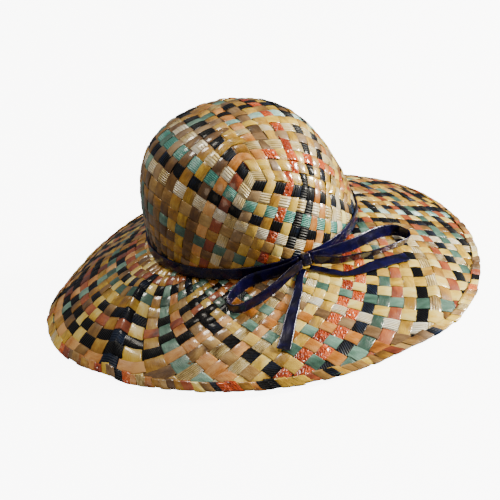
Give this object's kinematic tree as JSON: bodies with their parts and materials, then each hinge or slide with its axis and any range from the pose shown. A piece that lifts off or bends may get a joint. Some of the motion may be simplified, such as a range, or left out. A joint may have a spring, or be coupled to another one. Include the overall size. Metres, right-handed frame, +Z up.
{
  "type": "wide-brimmed straw sun hat",
  "caption": "Soft wide-brimmed sun hat of plaited flat straw strips, with a round crown and a narrow ribbon tied in a bow.",
  "frame": {"origin": "middle of the hat's base, on the surface that the brim's edge stands on", "axes": "+Z up, out of the crown's top; -Y is the side that carries the bow; +X is to the right when the bow faces the viewer"},
  "size_m": [0.39, 0.389, 0.1671],
  "materials": {
    "straw": "plaited straw in mixed colours",
    "ribbon": "glossy"
  },
  "bodies": {
    "root": {"crown": "straw", "brim": "straw", "ribbon_band": "ribbon", "bow_knot": "ribbon", "bow_loop_left": "ribbon", "bow_loop_right": "ribbon", "bow_tail_left": "ribbon", "bow_tail_right": "ribbon"}
  },
  "joints": []
}
